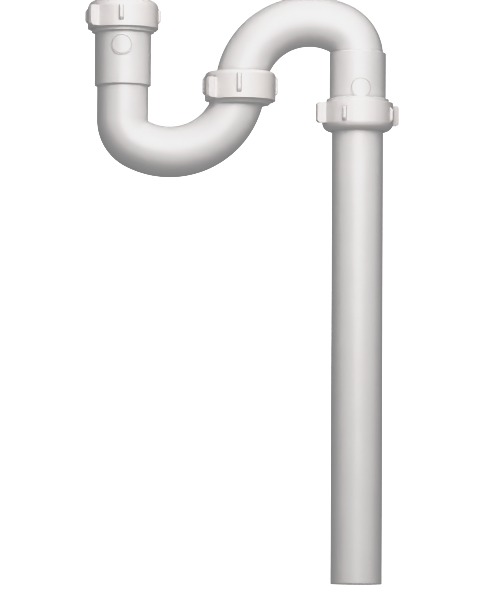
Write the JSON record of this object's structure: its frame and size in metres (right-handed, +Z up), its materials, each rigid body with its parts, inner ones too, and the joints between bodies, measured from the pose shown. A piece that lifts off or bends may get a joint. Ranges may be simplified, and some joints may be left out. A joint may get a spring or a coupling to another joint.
{
  "type": "s trap",
  "caption": "White plastic slip-joint S trap: U-shaped trap bend, over-bend and long outlet tube, joined by wing nuts with grip ribs.",
  "frame": {"origin": "on the inlet axis, at the top of the inlet socket's straight wall, just under the bevel of its mouth", "axes": "+Z up, out of the inlet's mouth; +X from the inlet towards the outlet; +Y from the front to the back of the bends' plane"},
  "size_m": [0.2349, 0.0568, 0.4382],
  "materials": {
    "pipe_plastic": "white moulded plastic, satin gloss",
    "nut_plastic": "white moulded plastic, satin gloss",
    "washer_rubber": "soft translucent white plastic washer"
  },
  "bodies": {
    "trap_bend": {"j_bend": "pipe_plastic"},
    "inlet_washer": {"inlet_washer": "washer_rubber"},
    "inlet_nut": {"inlet_nut": "nut_plastic"},
    "union_washer": {"union_washer": "washer_rubber"},
    "union_nut": {"union_nut": "nut_plastic"},
    "over_bend": {"s_bend": "pipe_plastic"},
    "outlet_washer": {"outlet_washer": "washer_rubber"},
    "outlet_nut": {"outlet_nut": "nut_plastic"},
    "outlet_tube": {"outlet_tube": "pipe_plastic"}
  },
  "joints": [
    {"name": "inlet_washer_lift", "type": "slide", "parent": "trap_bend", "child": "inlet_washer", "axis": [0, 0, 1], "range_m": [0, 0.00885]},
    {"name": "inlet_nut_turn", "type": "hinge", "parent": "inlet_washer", "child": "inlet_nut", "pos_m": [0, 0, 0], "axis": [0, 0, 1], "range_deg": [0, 1440]},
    {"name": "union_washer_lift", "type": "slide", "parent": "trap_bend", "child": "union_washer", "axis": [0, 0, 1], "range_m": [0, 0.00885]},
    {"name": "union_nut_turn", "type": "hinge", "parent": "union_washer", "child": "union_nut", "pos_m": [0.08755, 0, -0.055], "axis": [0, 0, 1], "range_deg": [0, 1440]},
    {"name": "over_bend_swivel", "type": "hinge", "parent": "union_washer", "child": "over_bend", "pos_m": [0.08755, 0, -0.05], "axis": [0, 0, 1], "range_deg": [-120, 120]},
    {"name": "outlet_washer_drop", "type": "slide", "parent": "over_bend", "child": "outlet_washer", "axis": [0, 0, -1], "range_m": [0, 0.00885]},
    {"name": "outlet_nut_turn", "type": "hinge", "parent": "outlet_washer", "child": "outlet_nut", "pos_m": [0.17507, 0, -0.077], "axis": [0, 0, -1], "range_deg": [0, 1440]},
    {"name": "outlet_tube_slide", "type": "slide", "parent": "over_bend", "child": "outlet_tube", "axis": [0, 0, -1], "range_m": [-0.009, 0.03]}
  ],
  "couplings": [
    {"joint": "inlet_washer_lift", "follows": "inlet_nut_turn", "m_per_rad": 0.00035152},
    {"joint": "union_washer_lift", "follows": "union_nut_turn", "m_per_rad": 0.00035152},
    {"joint": "outlet_washer_drop", "follows": "outlet_nut_turn", "m_per_rad": 0.00035152}
  ]
}
